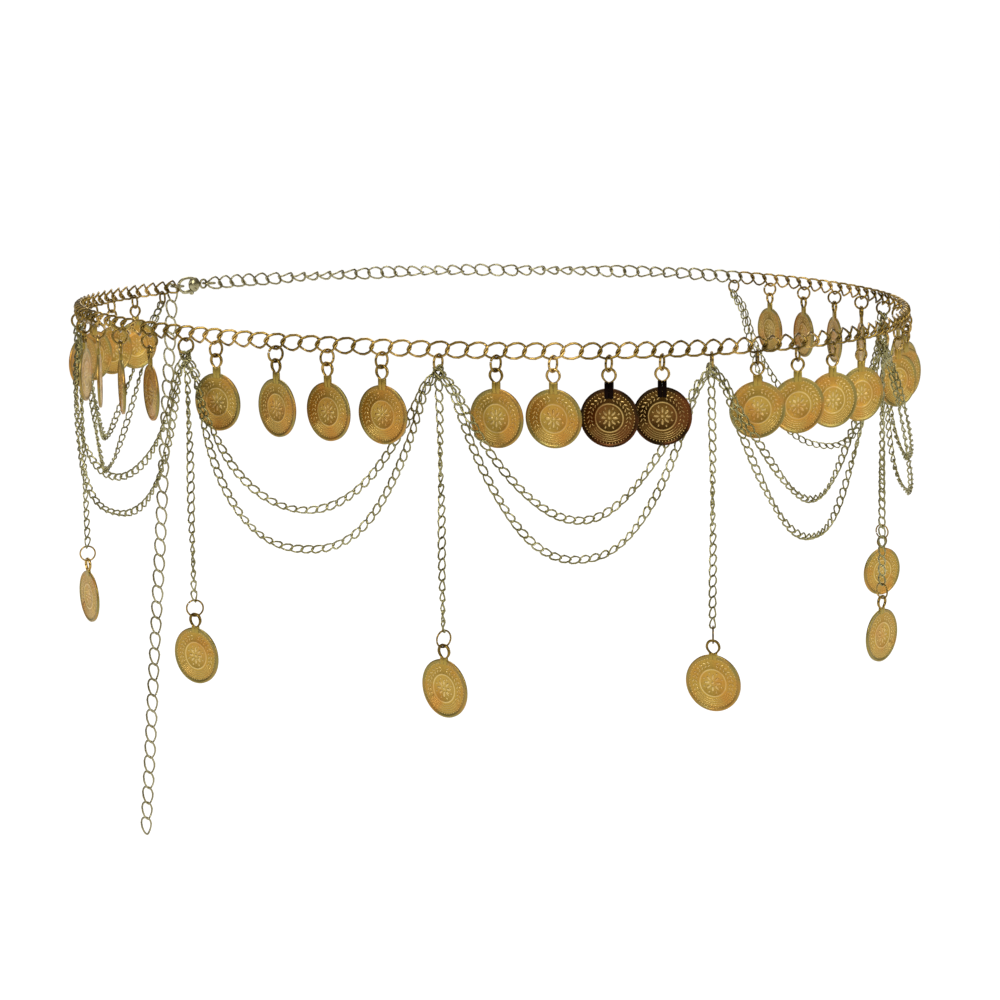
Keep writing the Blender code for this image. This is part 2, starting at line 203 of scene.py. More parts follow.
class Strand:
    """A curve through points, read by its own arc length."""

    def __init__(self, points):
        self.points = np.array([tuple(point) for point in points])
        steps = np.linalg.norm(np.diff(self.points, axis=0), axis=1)
        self.arc = np.concatenate([[0.0], np.cumsum(steps)])
        self.length = float(self.arc[-1])

    def at(self, arc):
        return Vector([float(np.interp(arc, self.arc, self.points[:, axis])) for axis in range(3)])

    def along(self, arc, reach):
        return (self.at(arc + reach) - self.at(arc - reach)).normalized()


def hang_links(shape, strand, link, pitch, first, last, flat_at, roll_at):
    """Sets links evenly from one arc length to another, both of them link middles."""
    links = round((last - first) / pitch) + 1
    for number in range(links):
        share = number / (links - 1)
        arc = first + share * (last - first)
        middle = strand.at(arc)
        place = link_place(middle, strand.along(arc, pitch / 3), flat_at(middle), roll_at(share))
        add_copy(shape, link, place)
    return links


# %% [markdown]
# ## Gold for the chain
# Such chain is iron or zinc-alloy wire with a thin bright gold flash, drawn and then tumbled.
# To the eye it is a polished metal with a warm tint, dark where it mirrors the dim side of
# the room and nearly white along its lit edges. The tint is the metal's base colour. Small
# differences from link to link come from a noise that is wider than a link, and the fine
# drawing marks are a bump of a few tenths of a millimetre. The flash is thinner on the fine
# chain and on the free ends, and so the metal is paler there.

# %% Colour and node helpers


def linear(hex_colour):
    """An sRGB hex colour as linear RGBA."""
    parts = [int(hex_colour[place:place + 2], 16) / 255 for place in (1, 3, 5)]
    bright = [part / 12.92 if part <= 0.04045 else ((part + 0.055) / 1.055) ** 2.4 for part in parts]
    return (*bright, 1.0)


def add_node(material, kind, settings=(), links=()):
    """One node with its settings; links are (input name, output socket of another node)."""
    tree = material.node_tree
    node = tree.nodes.new(kind)
    for name, value in dict(settings).items():
        if name in node.inputs:
            node.inputs[name].default_value = value
        else:
            setattr(node, name, value)
    for name, socket in links:
        tree.links.new(socket, node.inputs[name])
    return node


def metal(name, roughness):
    """A material with an untinted metal shader, and that shader."""
    material = bpy.data.materials.new(name)
    material.use_nodes = True
    shader = material.node_tree.nodes["Principled BSDF"]
    shader.inputs["Metallic"].default_value = 1.0
    shader.inputs["Roughness"].default_value = roughness
    return material, shader


def set_ramp(node, stops):
    """Colours of a ramp from pairs of position and hex colour."""
    ramp = node.color_ramp
    while len(ramp.elements) < len(stops):
        ramp.elements.new(0.5)
    for element, (position, colour) in zip(ramp.elements, stops):
        element.position = position
        element.color = linear(colour)


def per_metre(size_mm):
    """The scale of a pattern whose features are this many millimetres wide."""
    return 1 / (size_mm * MM)


# %% Gold-flashed drawn wire


def drawn_wire(name, shades):
    """Drawn and flashed wire in three shades, from the dullest to the brightest."""
    material, shader = metal(name, 0.2)
    tree = material.node_tree
    place = add_node(material, "ShaderNodeTexCoord").outputs["Object"]
    patch = add_node(material, "ShaderNodeTexNoise", {"Scale": per_metre(9), "Detail": 2.0},
                     [("Vector", place)])
    tint = add_node(material, "ShaderNodeValToRGB", links=[("Fac", patch.outputs["Fac"])])
    set_ramp(tint, list(zip((0.32, 0.5, 0.68), shades)))
    wear = add_node(material, "ShaderNodeTexNoise", {"Scale": per_metre(2.5), "Detail": 3.0},
                    [("Vector", place)])
    dull = add_node(material, "ShaderNodeMapRange", {"To Min": 0.14, "To Max": 0.3},
                    [("Value", wear.outputs["Fac"])])
    marks = add_node(material, "ShaderNodeTexNoise", {"Scale": per_metre(0.35), "Detail": 2.0},
                     [("Vector", place)])
    bump = add_node(material, "ShaderNodeBump", {"Strength": 0.12, "Distance": 0.05 * MM},
                    [("Height", marks.outputs["Fac"])])
    tree.links.new(tint.outputs["Color"], shader.inputs["Base Color"])
    tree.links.new(dull.outputs["Result"], shader.inputs["Roughness"])
    tree.links.new(bump.outputs["Normal"], shader.inputs["Normal"])
    return material


WIRE_GOLD = drawn_wire("gold_flashed_wire", ("#5C4A1E", "#846B2E", "#BC9C58"))
FINE_GOLD = drawn_wire("pale_gold_fine_wire", ("#706A40", "#8A8356", "#A39E74"))
PALE_GOLD = drawn_wire("pale_gold_free_wire", ("#7C7452", "#908864", "#A29C7A"))
print("wire finishes", [finish.name for finish in (WIRE_GOLD, FINE_GOLD, PALE_GOLD)])

# %% [markdown]
# ## The belt
# The belt is seven runs of 15 links, one run between each two tassels, and one more link at
# the start that takes the clasp. Another 41 links close the loop behind. The belt's links
# stand upright and face outwards. The free chain behind isn't pulled straight by coins, so it
# rolls over slowly along its length, and its links look wide and narrow by turns.

# %% Belt and back chain
SECTORS = 7
LINKS_IN_SECTOR = 15
BACK_LINKS = 41
SECTOR = LINKS_IN_SECTOR * BELT_PITCH
BACK_ROLL = radians(62)
BACK_ROLL_LINKS = 18
BACK_ROLL_EASE = 6


def belt_link_place(number, roll=0.0):
    place, along, outward = frame_at(number * BELT_PITCH)
    return link_place(place, along, outward, roll)


def back_roll(step):
    """The roll of a back link, none at both ends of the chain."""
    ends = min(1.0, step / BACK_ROLL_EASE, (BACK_LINKS - 1 - step) / BACK_ROLL_EASE)
    return BACK_ROLL * ends * sin(pi * step / BACK_ROLL_LINKS * 2)


for sector in range(SECTORS):
    numbers = range(sector * LINKS_IN_SECTOR - (sector == 0), (sector + 1) * LINKS_IN_SECTOR)
    run = bmesh.new()
    for number in numbers:
        add_copy(run, BELT_LINK, belt_link_place(number))
    finish_piece(f"belt_curb_{sector + 1}", run, [WIRE_GOLD], "chain", f"belt_{sector + 1}")

back = bmesh.new()
for step in range(BACK_LINKS):
    add_copy(back, BELT_LINK, belt_link_place(SECTORS * LINKS_IN_SECTOR + step, back_roll(step)))
finish_piece("back_curb", back, [PALE_GOLD], "chain", "back_chain")
print("belt links", SECTORS * LINKS_IN_SECTOR + 1, "back links", BACK_LINKS)

# %% [markdown]
# ## Jump rings
# A jump ring is wound on a rod and sawn off the coil, so every one has a slit where it was
# pinched shut. The section is spun almost all the way round and both cut ends are capped.
# Each ring hangs on the lower wire of its link with a little play, and the slits point to
# different sides.

# %% Rings that carry coins and tassels
RING_RADIUS = 2.275 * MM
RING_WIRE = 0.75 * MM
RING_SLIT = radians(5)
TASSEL_RING_RADIUS = 2.45 * MM
TASSEL_RING_WIRE = 0.55 * MM
WIRE_LEVEL = -2.2 * MM
PLAY = 0.08 * MM
JUNCTION_TURN = radians(26)
JUNCTION_SLIT_AT = radians(70)


def ring_mesh(name, radius, wire):
    shape = wire_ring(radius, wire, 24, 7, RING_SLIT)
    mesh = bpy.data.meshes.new(name)
    shape.to_mesh(mesh)
    shape.free()
    return mesh


BELT_RING = ring_mesh("belt_ring", RING_RADIUS, RING_WIRE)
TASSEL_RING = ring_mesh("tassel_ring", TASSEL_RING_RADIUS, TASSEL_RING_WIRE)


def hang(place, turn):
    """A frame at a place, turned about the vertical."""
    return Matrix.Translation(place) @ Matrix.Rotation(turn, 4, "Z")


def hung_at(arc, turn):
    """The frame of what hangs from a link's lower wire, turned clockwise."""
    place, along, _ = frame_at(arc)
    return hang(place + Vector((0, 0, WIRE_LEVEL)), atan2(along.y, along.x) - turn)


def upright_ring(hinge, carrying_wire, radius, wire, slit_at):
    """Place of a ring in the plane across X, hanging on the wire at the hinge."""
    drop = (carrying_wire + wire) / 2 + PLAY - radius
    stand = Matrix.Rotation(pi / 2, 4, "Y") @ Matrix.Rotation(slit_at, 4, "Z")
    return hinge @ Matrix.Translation((0, 0, drop)) @ stand


def junction_frame(number):
    return hung_at(number * SECTOR, JUNCTION_TURN)


def junction_ring_place(number):
    return upright_ring(junction_frame(number), BELT_WIRE, RING_RADIUS, RING_WIRE, JUNCTION_SLIT_AT)


JUNCTION_BOTTOM = (BELT_WIRE + RING_WIRE) / 2 + PLAY - 2 * RING_RADIUS
for number in (0, SECTORS):
    ring = bmesh.new()
    add_copy(ring, BELT_RING, junction_ring_place(number))
    name = "junction_ring_1" if number == 0 else "junction_ring_8"
    finish_piece(f"end_{name}", ring, [WIRE_GOLD], "chain", name)
print("ring hole", round((2 * RING_RADIUS - RING_WIRE) / MM, 2), "mm")

# %% [markdown]
# ## Swags
# Two strands of fine chain hang between neighbouring rings, one lower than the other. A free
# chain would hang in a catenary. These are drawn as a power curve fitted by its sag, because
# that lets the flanks fall as steeply as the chain's own stiffness makes them. The left end
# passes in front of the first coin and the right end behind the last one, and more so in the
# third run, whose first coin stands out further. Each strand starts and ends in the ring: the
# first link goes through the hole, and its middle is a little below.

# %% Swag curves
SWAG_START = 2.5 * MM
SWAG_TOP = 6.4 * MM
INNER_SWAG = {"lowest": 48.6 * MM, "curve": 2.0, "in_ring": 18}
OUTER_SWAG = {"lowest": 60.0 * MM, "curve": 2.4, "in_ring": 40}
SWAG_SKEWS_MM = (8.5, 8.5, 13.3, 8.5, 8.5, 8.5, 8.5)
SWAG_POINTS = 120
POINTS_AT_RING = 3
SWAG_ROLL = radians(32)
SWAG_ROLLS = 3.2
ROLL_STEP, OUTER_ROLL_STEP = 0.37, 0.2
FIRST_LINK_DROP = (FINE_PITCH + FINE_WIRE) / 2 - (RING_WIRE + FINE_WIRE) / 2


def swag_point(sector, swag, share):
    """A point of the hanging curve, where share runs from -1 at the left to 1 at the right."""
    half = SECTOR / 2
    depth = SWAG_TOP + (swag["lowest"] - SWAG_TOP) * (1 - abs(share) ** swag["curve"])
    place, _, outward = frame_at(sector * SECTOR + half + share * (half - SWAG_START))
    skew = outward * SWAG_SKEWS_MM[sector] * MM * share * (1 - share ** 2)
    return place - Vector((0, 0, depth)) - skew


def ring_point(junction, degrees):
    """A point on the middle of a junction ring's wire, degrees outward from its lowest."""
    turn = radians(degrees)
    hinge = junction_frame(junction)
    middle = JUNCTION_BOTTOM + RING_RADIUS
    return hinge @ Vector((0.0, -RING_RADIUS * sin(turn), middle - RING_RADIUS * cos(turn)))


def swag_strand(sector, swag):
    shares = np.linspace(-1, 1, SWAG_POINTS + 1)[POINTS_AT_RING:-POINTS_AT_RING]
    curve = [swag_point(sector, swag, float(share)) for share in shares]
    left, right = ring_point(sector, swag["in_ring"]), ring_point(sector + 1, -swag["in_ring"])
    return Strand([left, *curve, right])


def away_from_middle(point):
    return Vector((point.x / LOOP_WIDTH ** 2, point.y / LOOP_DEPTH ** 2, 0.0)).normalized()


def roll_wave(start):
    """A slow roll back and forth along a strand."""
    return lambda share: SWAG_ROLL * sin(2 * pi * (SWAG_ROLLS * share + start))


lengths = []
for sector in range(SECTORS):
    swags = bmesh.new()
    for swag in (INNER_SWAG, OUTER_SWAG):
        strand = swag_strand(sector, swag)
        lengths.append(strand.length)
        roll = roll_wave(ROLL_STEP * sector + (OUTER_ROLL_STEP if swag is OUTER_SWAG else 0.0))
        hang_links(swags, strand, FINE_LINK, FINE_PITCH, FIRST_LINK_DROP,
                   strand.length - FIRST_LINK_DROP, away_from_middle, roll)
    finish_piece(f"swag_chain_{sector + 1}", swags, [FINE_GOLD], "chain", f"swag_{sector + 1}")
print("inner and outer swag", round(lengths[0] / MM), "and", round(lengths[1] / MM), "mm")

# %% [markdown]
# ## Tassels
# A tassel is the junction ring, a straight fine chain below it and a coin on a ring of its
# own. The chain hangs dead straight but rolls over slowly, so its links show wide, narrow and
# wide again. Its first link stands across the junction ring and its last one across the
# coin's ring, and the roll between them takes the rest.

# %% Straight strands of the tassels
TASSELS = (
    {"hinge_depth": 79.5 * MM, "ring_turn": -86, "coin_turn": -66, "half_turns": 1},
    {"hinge_depth": 81.0 * MM, "ring_turn": -89, "coin_turn": -41, "half_turns": 2},
    {"hinge_depth": 81.7 * MM, "ring_turn": -60, "coin_turn": -48, "half_turns": 2},
    {"hinge_depth": 83.2 * MM, "ring_turn": -14, "coin_turn": -34, "half_turns": 2},
    {"hinge_depth": 83.1 * MM, "ring_turn": 25, "coin_turn": 38, "half_turns": 1},
    {"hinge_depth": 82.2 * MM, "ring_turn": 40, "coin_turn": 25, "half_turns": 1},
)
HALF_LINK = (FINE_PITCH + FINE_WIRE) / 2
FRONT = Vector((0.0, -1.0, 0.0))


def tassel_roll(top, bottom, half_turns):
    """From the roll at the top to the one at the bottom, over whole half turns."""
    across = (bottom - top) % pi + (half_turns - 1) * pi
    return lambda share: top + across * share


for number, tassel in enumerate(TASSELS, 1):
    shape = bmesh.new()
    add_copy(shape, BELT_RING, junction_ring_place(number))
    for face in shape.faces:
        face.material_index = 1
    top = junction_frame(number) @ Vector((0.0, 0.0, JUNCTION_BOTTOM))
    eye = on_loop(number * SECTOR) - Vector((0, 0, tassel["hinge_depth"]))
    strand = Strand([top, eye])
    _, along, _ = frame_at(number * SECTOR)
    top_turn = atan2(along.y, along.x) - JUNCTION_TURN - CURB_TURN
    roll = tassel_roll(-top_turn, -radians(tassel["ring_turn"]) - CURB_TURN, tassel["half_turns"])
    links = hang_links(shape, strand, FINE_LINK, FINE_PITCH, FIRST_LINK_DROP,
                       strand.length - HALF_LINK, lambda point: FRONT, roll)
    finish_piece(f"tassel_chain_{number}", shape, [FINE_GOLD, WIRE_GOLD], "chain", f"tassel_{number}")
print("links in the last tassel", links)

# %% [markdown]
# ## The stamped coin
# The coin is a thin brass-coloured blank, struck between two dies. Its rim is turned up, a
# raised ring parts the middle from the border, and the ornament stands proud of a flat field.
# The blank is one half-section spun round its axis. The ornament is small domes: beads along
# the rim, a rosette of petals, a wreath of leaves, and low ridges along the lower border.
# Both faces carry it. The point's height above the field is kept as an attribute, so that the
# finish can darken the field and leave the worn tops bright. The rim is set below the field in
# it, so the finish paints the rim darkest: painted shade along the coin's edge.

# %% The struck blank
COIN_RADIUS = 8.5 * MM
COIN_STEPS = 56
FIELD = 0.27
COIN_SECTION = ((0.0, 0.29), (3.8, FIELD), (3.97, 0.33), (4.15, 0.33), (4.32, FIELD), (7.0, FIELD),
                (7.68, FIELD), (7.82, 0.38), (8.1, 0.42), (8.36, 0.4), (8.5, 0.27))


def add_blank(shape):
    """The coin's own body about the Z axis."""
    upper = [(radius, height) for radius, height in COIN_SECTION]
    lower = [(radius, -height) for radius, height in reversed(COIN_SECTION)]
    points = [shape.verts.new((radius * MM, 0.0, height * MM)) for radius, height in upper + lower]
    edges = [shape.edges.new(pair) for pair in zip(points, points[1:])]
    bmesh.ops.spin(shape, geom=points + edges, cent=(0, 0, 0), axis=(0, 0, 1), angle=2 * pi,
                   steps=COIN_STEPS, use_merge=True)
    bmesh.ops.remove_doubles(shape, verts=shape.verts[:], dist=WELD)


# %% [markdown]
# ## The ornament of the coin
# Every mark is one dome, scaled to a bead, a petal or a leaf and turned to its place. A dome
# of few faces is enough, because the marks are a third of a millimetre across.

# %% Beads, petals, leaves and ridges


def dome_mesh():
    shape = bmesh.new()
    bmesh.ops.create_uvsphere(shape, u_segments=8, v_segments=4, radius=1.0)
    mesh = bpy.data.meshes.new("dome")
    shape.to_mesh(mesh)
    shape.free()
    return mesh


DOME = dome_mesh()


def add_dome(shape, radius, turn, size, lean=0.0):
    """A dome on the field at a radius in mm; size is length, width and height in mm."""
    place = Matrix.Rotation(turn, 4, "Z") @ Matrix.Translation((radius * MM, 0.0, FIELD * MM))
    scale = Matrix.Diagonal((size[0] * MM / 2, size[1] * MM / 2, size[2] * MM, 1.0))
    add_copy(shape, DOME, place @ Matrix.Rotation(lean, 4, "Z") @ scale)


def add_ridge(shape, radius, first, last):
    """A low ridge along an arc of the border."""
    section = [(radius - 0.15, FIELD - 0.03), (radius, FIELD + 0.06), (radius + 0.15, FIELD - 0.03)]
    corners = [shape.verts.new((r * MM * cos(first), r * MM * sin(first), h * MM)) for r, h in section]
    face = shape.faces.new(corners)
    bmesh.ops.spin(shape, geom=[*corners, *face.edges, face], cent=(0, 0, 0), axis=(0, 0, 1),
                   angle=last - first, steps=12)


BEADS = 52
PETALS = 8
LEAVES = 9


def add_ornament(shape):
    for number in range(BEADS):
        add_dome(shape, 7.32, 2 * pi * number / BEADS, (0.42, 0.42, 0.08))
    for number in range(PETALS):
        turn = 2 * pi * number / PETALS
        add_dome(shape, 1.75, turn, (2.0, 0.8, 0.09))
        add_dome(shape, 2.95, turn + pi / PETALS, (0.9, 0.55, 0.07))
    add_dome(shape, 0.0, 0.0, (1.0, 1.0, 0.12))
    for side in (-1, 1):
        for number in range(LEAVES):
            turn = pi / 2 + side * radians(14 + 12.5 * number)
            add_dome(shape, 6.15, turn, (1.35, 0.42, 0.08), side * radians(52))
            add_dome(shape, 5.2, turn, (1.15, 0.4, 0.08), side * radians(128))
    for radius in (4.95, 5.55, 6.15, 6.75):
        add_ridge(shape, radius, radians(-150), radians(-30))


def coin_shape():
    """A coin about the origin, with its face to -Y and its top to +Z."""
    face = bmesh.new()
    add_ornament(face)
    bmesh.ops.recalc_face_normals(face, faces=face.faces[:])
    face_mesh = bpy.data.meshes.new("coin_face")
    face.to_mesh(face_mesh)
    face.free()
    shape = bmesh.new()
    add_blank(shape)
    bmesh.ops.recalc_face_normals(shape, faces=shape.faces[:])
    add_copy(shape, face_mesh, Matrix.Identity(4))
    add_copy(shape, face_mesh, Matrix.Rotation(pi, 4, "Y"))
    upright = Matrix.Rotation(pi / 2, 3, "X")
    bmesh.ops.rotate(shape, verts=shape.verts[:], cent=(0, 0, 0), matrix=upright)
    return shape


# %% [markdown]
# ## The bail
# The bail is a stamped strip: a loop at the top for the ring, a waist, and two tongues that
# are folded over the coin, one on each face. The loop is a link's ring of wire that is drawn
# in towards the waist like a keyhole. The tongues are two blocks with rounded edges, side by
# side, which leaves a fine seam below the loop. On a gold coin they lie almost flush, and on
# a dark one they are thicker, longer and black.

# %% Bail loop and tongues
BAIL_LOOP = (4.1 * MM, 3.9 * MM)
BAIL_WIRE = 0.8 * MM
BAIL_TAPER = 0.4
BAIL_DEPTH = 1.25
HEAD_IN_LOOP = 0.35 * MM
TONGUE_ROUNDING = 0.16 * MM
BAIL_TOP_WIRE = JUNCTION_BOTTOM + (RING_WIRE + BAIL_WIRE) / 2
COIN_DROP = 17.0 * MM
TASSEL_COIN_DROP = 16.3 * MM
GOLD_TONGUE = {"width": 1.25 * MM, "thick": 0.9 * MM, "reach": 1.5 * MM, "slit": 0.0}
DARK_TONGUE = {"width": 1.26 * MM, "thick": 1.25 * MM, "reach": 3.0 * MM, "slit": 0.06 * MM}


def add_box(shape, middle, size, rounding):
    """A block with rounded edges."""
    block = bmesh.new()
    bmesh.ops.create_cube(block, size=1.0, matrix=Matrix.Diagonal((*size, 1.0)))
    bmesh.ops.bevel(block, geom=block.edges[:], offset=rounding, offset_type="OFFSET", segments=2,
                    profile=0.5, affect="EDGES", material=-1)
    mesh = bpy.data.meshes.new("block")
    block.to_mesh(mesh)
    block.free()
    add_copy(shape, mesh, Matrix.Translation(middle))


def add_bail(shape, loop_top, coin_middle, tongue):
    """The bail's loop at its height below the hinge, and its tongues down to the coin.

    Returns the number of faces before the tongues."""
    length, width = BAIL_LOOP
    loop = oval_link("bail_loop", length, width, BAIL_WIRE, 24, 8, fullness=2.2)
    for point in loop.vertices:
        point.co.y *= 1 - BAIL_TAPER * max(0.0, 2 * point.co.x / length) ** 1.5
    stand = Matrix.Rotation(pi / 2, 4, "Y") @ Matrix.Rotation(pi / 2, 4, "X")
    deeper = Matrix.Diagonal((1.0, BAIL_DEPTH, 1.0, 1.0))
    add_copy(shape, loop, Matrix.Translation((0, 0, loop_top - length / 2)) @ deeper @ stand)
    loop_faces = len(shape.faces)
    head = loop_top - length + HEAD_IN_LOOP
    foot = coin_middle + COIN_RADIUS - tongue["reach"]
    for side in (-1, 1):
        middle = (side * (tongue["width"] + tongue["slit"]) / 2, 0.0, (head + foot) / 2)
        add_box(shape, middle, (tongue["width"], tongue["thick"], head - foot), TONGUE_ROUNDING)
    return loop_faces


# %% Coin with its bail: gold and dark for the belt, gold for the tassels
FLAT_RELIEF = 0.25
FULL_RELIEF_MM = 0.06
RIM_INSIDE_MM = 7.65


def relief_and_rim_shade_at(point):
    """0 on the rim, which gives the rim its painted shade, a quarter on the flat field and up to 1 on
    the ornament.
    """
    if point.xz.length > RIM_INSIDE_MM * MM:
        return 0.0
    height = (abs(point.y) / MM - FIELD) / FULL_RELIEF_MM
    return FLAT_RELIEF + (1 - FLAT_RELIEF) * min(1.0, max(0.0, height))


def coin_with_bail(name, loop_top, coin_drop, tongue):
    """A coin and bail about the hinge at the origin, with relief and painted rim shade, face map and
    materials.
    """
    shape = coin_shape()
    relief_and_rim_shade = shape.verts.layers.float.new("relief_and_rim_shade")
    for vert in shape.verts:
        vert[relief_and_rim_shade] = relief_and_rim_shade_at(vert.co)
    coin_faces = len(shape.faces)
    bmesh.ops.translate(shape, verts=shape.verts[:], vec=(0, 0, -coin_drop))
    loop_faces = add_bail(shape, loop_top, -coin_drop, tongue)
    shape.faces.ensure_lookup_table()
    face_map = shape.loops.layers.uv.new("face_mm")
    for face in shape.faces:
        face.material_index = (face.index >= coin_faces) + (face.index >= loop_faces)
        for corner in face.loops:
            corner[face_map].uv = (corner.vert.co.x / MM, (corner.vert.co.z + coin_drop) / MM)
    mesh = bpy.data.meshes.new(name)
    shape.to_mesh(mesh)
    shape.free()
    return mesh


tassel_bottom = (FINE_WIRE + TASSEL_RING_WIRE) / 2 + PLAY - 2 * TASSEL_RING_RADIUS
TASSEL_BAIL_TOP = tassel_bottom + (TASSEL_RING_WIRE + BAIL_WIRE) / 2
BELT_COIN = coin_with_bail("belt_coin", BAIL_TOP_WIRE, COIN_DROP, GOLD_TONGUE)
DARK_COIN = coin_with_bail("dark_coin", BAIL_TOP_WIRE, COIN_DROP, DARK_TONGUE)
TASSEL_COIN = coin_with_bail("tassel_coin", TASSEL_BAIL_TOP, TASSEL_COIN_DROP, GOLD_TONGUE)
print("faces in one coin", len(BELT_COIN.polygons))

# %% [markdown]
# ## Finishes of the coins
# The coins are stamped and gold-flashed, then left satin, so they mirror nothing sharply. To
# the eye they are an even mustard gold with browner hollows, paler worn tops and a warmer
# blush in broad patches, and their rim is painted darker than the field as painted shade along
# the edge. Two coins of one run are oxidised bronze: brown, glossy fields, a nearly black rim
# that is painted shade, and old gold on the raised parts. The tongues are strip in the finish of
# their coin, satin gold or blackened, and the loop above them is polished like the rings. All
# these finishes read the coin's own millimetre map, so the speckle keeps its size, and the
# blush differs from coin to coin.

# %% Satin stamped gold, and oxidised bronze
GRAIN_MM = 0.55
BLUSH_MM = 7


def stamped(name, shades, blush, rough_field, rough_tops, speckle):
    """A struck metal: rim, field, slope and top shades by relief, a blush and a fine grain. On a coin
    the rim shade is painted shade along its edge.
    """
    material, shader = metal(name, rough_field)
    tree = material.node_tree
    face_map = add_node(material, "ShaderNodeUVMap", {"uv_map": "face_mm"}).outputs["UV"]
    relief_and_rim_shade = add_node(material, "ShaderNodeAttribute", {"attribute_name": "relief_and_rim_shade"}).outputs["Fac"]
    grain = add_node(material, "ShaderNodeTexNoise",
                     {"Scale": 1 / GRAIN_MM, "Detail": 4.0, "Roughness": 0.65}, [("Vector", face_map)])
    shift = add_node(material, "ShaderNodeMath", {"operation": "MULTIPLY_ADD"},
                     [(0, grain.outputs["Fac"]), (2, relief_and_rim_shade)])
    shift.inputs[1].default_value = speckle
    level = add_node(material, "ShaderNodeMath", {"operation": "SUBTRACT", "use_clamp": True},
                     [(0, shift.outputs["Value"])])
    level.inputs[1].default_value = speckle / 2
    tint = add_node(material, "ShaderNodeValToRGB", links=[("Fac", level.outputs["Value"])])
    # The shade at 0 falls on the coin's rim and is painted shade; the others follow the relief.
    set_ramp(tint, list(zip((0.0, FLAT_RELIEF, 0.5, 0.9), shades)))
    place = add_node(material, "ShaderNodeTexCoord").outputs["Object"]
    cloud = add_node(material, "ShaderNodeTexNoise", {"Scale": per_metre(BLUSH_MM), "Detail": 2.0},
                     [("Vector", place)])
    warmth = add_node(material, "ShaderNodeMapRange", {"From Min": 0.45, "From Max": 0.7, "To Max": 0.7},
                      [("Value", cloud.outputs["Fac"])])
    blushed = add_node(material, "ShaderNodeMix", {"data_type": "RGBA"},
                       [(0, warmth.outputs["Result"]), (6, tint.outputs["Color"])])
    blushed.inputs[7].default_value = linear(blush)
    rough = add_node(material, "ShaderNodeMapRange", {"To Min": rough_field, "To Max": rough_tops},
                     [("Value", level.outputs["Value"])])
    bump = add_node(material, "ShaderNodeBump", {"Strength": 0.35, "Distance": 0.08 * MM},
                    [("Height", grain.outputs["Fac"])])
    tree.links.new(blushed.outputs[2], shader.inputs["Base Color"])
    tree.links.new(rough.outputs["Result"], shader.inputs["Roughness"])
    tree.links.new(bump.outputs["Normal"], shader.inputs["Normal"])
    return material


# The first shade of each coin finish is its rim, darker than the field: painted shade along the edge.
COIN_GOLD = stamped("satin_stamped_gold", ("#8C7E46", "#B18F3F", "#BEA051", "#D2B674"),
                    "#BD8236", 0.4, 0.34, 0.5)
TONGUE_GOLD = stamped("stamped_gold_strip", ("#A08B42", "#AC9044", "#B39A50", "#C2AA64"),
                      "#AE863A", 0.34, 0.3, 0.4)
COIN_BRONZE = stamped("oxidised_bronze", ("#2A1E10", "#563C16", "#86682E", "#C0A264"),
                      "#6A3A1C", 0.26, 0.3, 0.34)
TONGUE_BLACK = stamped("blackened_strip", ("#120A08", "#15100C", "#1E1510", "#2A1E16"),
                       "#1E1010", 0.24, 0.24, 0.2)
print("coin finishes", [finish.name for finish in (COIN_GOLD, TONGUE_GOLD, COIN_BRONZE, TONGUE_BLACK)])

# %% [markdown]
# ## Coins on the belt
# Four coins hang in each run, on every third link. Each has its own frame: the hinge is where
# its ring rests on the link, and the coin is turned a little from facing straight out. The
# ring is turned a little further, as it lies against one side of the bail's loop. One coin
# hangs a link early, pushed to the end of that link, and faces nearly straight out.

# %% Twenty-eight belt coins
COIN_LINKS = (3, 6, 9, 12)
COIN_TURNS = (23.0, 23.0, 23.0, 30.0, 23.0, 30.0, 23.0)
FACING_COIN = {"name": "coin_3_1", "turn": 2.0, "shift": -4.5 * MM}
RING_TURN = 10.0
DARK_COINS = ("coin_4_3", "coin_4_4")


def add_coin(node, mesh, ring, coin_frame, ring_frame):
    """Coin and ring as two pieces on the coin's own body."""
    dark = mesh is DARK_COIN
    shape = bmesh.new()
    add_copy(shape, mesh, coin_frame)
    coin, tongue = (COIN_BRONZE, TONGUE_BLACK) if dark else (COIN_GOLD, TONGUE_GOLD)
    finish_piece(f"stamped_{node}", shape, [coin, WIRE_GOLD, tongue], node, node)
    shape = bmesh.new()
    add_copy(shape, ring, ring_frame)
    finish_piece(f"ring_of_{node}", shape, [WIRE_GOLD], node)


for sector in range(SECTORS):
    for number, link in enumerate(COIN_LINKS):
        node = f"coin_{sector + 1}_{number + 1}"
        arc, turn = (sector * LINKS_IN_SECTOR + link) * BELT_PITCH, COIN_TURNS[sector]
        if node == FACING_COIN["name"]:
            arc, turn = arc + FACING_COIN["shift"], FACING_COIN["turn"]
        hinge = hung_at(arc, radians(turn))
        slit_at = radians(50 + 37 * (sector + number))
        ring_hinge = hung_at(arc, radians(turn + RING_TURN))
        ring_frame = upright_ring(ring_hinge, BELT_WIRE, RING_RADIUS, RING_WIRE, slit_at)
        add_coin(node, DARK_COIN if node in DARK_COINS else BELT_COIN, BELT_RING, hinge, ring_frame)
print("coins on the belt", SECTORS * len(COIN_LINKS))

# %% Six tassel coins
for number, tassel in enumerate(TASSELS, 1):
    eye = on_loop(number * SECTOR) - Vector((0, 0, tassel["hinge_depth"]))
    hinge = hang(eye, radians(tassel["coin_turn"]))
    ring_hinge = hang(eye, radians(tassel["ring_turn"]))
    slit_at = radians(40 + 50 * number)
    ring_frame = upright_ring(ring_hinge, FINE_WIRE, TASSEL_RING_RADIUS, TASSEL_RING_WIRE, slit_at)
    add_coin(f"tassel_coin_{number}", TASSEL_COIN, TASSEL_RING, hinge, ring_frame)
print("coins on tassels", len(TASSELS))

